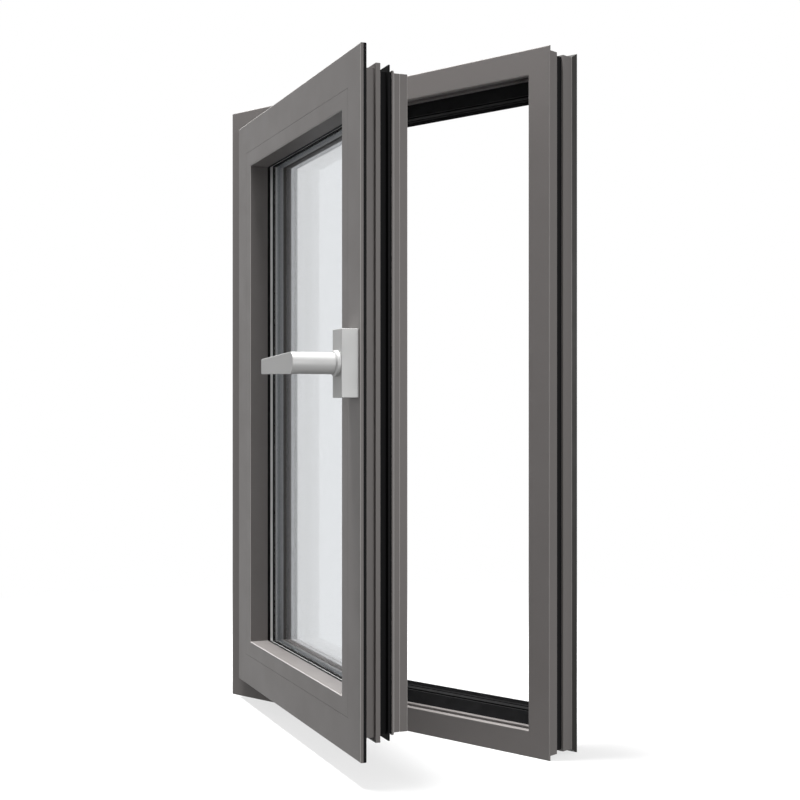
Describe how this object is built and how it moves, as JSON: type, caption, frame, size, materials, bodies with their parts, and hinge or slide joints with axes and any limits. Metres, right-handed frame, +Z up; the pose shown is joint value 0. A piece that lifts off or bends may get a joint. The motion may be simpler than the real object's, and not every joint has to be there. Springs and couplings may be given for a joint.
{
  "type": "aluminium casement window",
  "caption": "Inward-opening aluminium casement window with a thermally broken frame, a double-glazed side-hung sash and a lever handle.",
  "frame": {"origin": "centre of the flat web under the sill, between the room-side lip and the thermal break", "axes": "+X along the width away from the hinges, +Y from the room to the outside, +Z up"},
  "size_m": [0.608, 0.3783, 0.9],
  "materials": {
    "profile": "satin grey-brown coating on extruded aluminium",
    "polyamide": "black glass-filled polyamide strip",
    "gasket": "matt black rubber",
    "glass": "clear float glass",
    "spacer": "mill-finish spacer bar",
    "bright_trim": "bright drawn aluminium strip",
    "handle": "satin silver anodised aluminium",
    "hinge": "plain satin steel"
  },
  "bodies": {
    "frame": {"frame_centre_gasket": "gasket", "frame_head_inner_profile": "profile", "frame_head_outer_profile": "profile", "frame_head_thermal_break": "polyamide", "frame_hinge_jamb_inner_profile": "profile", "frame_hinge_jamb_outer_profile": "profile", "frame_hinge_jamb_thermal_break": "polyamide", "frame_lock_jamb_inner_profile": "profile", "frame_lock_jamb_outer_profile": "profile", "frame_lock_jamb_thermal_break": "polyamide", "frame_sill_inner_profile": "profile", "frame_sill_outer_profile": "profile", "frame_sill_thermal_break": "polyamide", "frame_weather_gasket": "gasket", "hinge_lower_frame_leaf": "hinge", "hinge_upper_frame_leaf": "hinge"},
    "sash": {"glass_edge_sealant": "gasket", "glass_pane_inner": "glass", "glass_pane_outer": "glass", "glass_spacer": "spacer", "glazing_bead_bottom": "profile", "glazing_bead_hinge_side": "profile", "glazing_bead_lock_side": "profile", "glazing_bead_top": "profile", "glazing_bright_strip": "bright_trim", "glazing_gasket_inner": "gasket", "glazing_gasket_outer": "gasket", "handle_rosette": "handle", "hinge_lower_sash_leaf": "hinge", "hinge_upper_sash_leaf": "hinge", "sash_bottom_rail_inner_profile": "profile", "sash_bottom_rail_outer_profile": "profile", "sash_bottom_rail_thermal_break": "polyamide", "sash_hinge_stile_inner_profile": "profile", "sash_hinge_stile_outer_profile": "profile", "sash_hinge_stile_thermal_break": "polyamide", "sash_lock_stile_inner_profile": "profile", "sash_lock_stile_outer_profile": "profile", "sash_lock_stile_thermal_break": "polyamide", "sash_overlap_gasket": "gasket", "sash_top_rail_inner_profile": "profile", "sash_top_rail_outer_profile": "profile", "sash_top_rail_thermal_break": "polyamide"},
    "handle": {"handle_lever": "handle"}
  },
  "joints": [
    {"name": "sash_hinge", "type": "hinge", "parent": "frame", "child": "sash", "pos_m": [-0.2777, -0.0151, 0.4455], "axis": [0, 0, -1], "range_deg": [-26, 64]},
    {"name": "handle_turn", "type": "hinge", "parent": "sash", "child": "handle", "pos_m": [0.1958, -0.25261, 0.4918], "axis": [0.4384, 0.8988, 0], "range_deg": [-90, 0]}
  ]
}
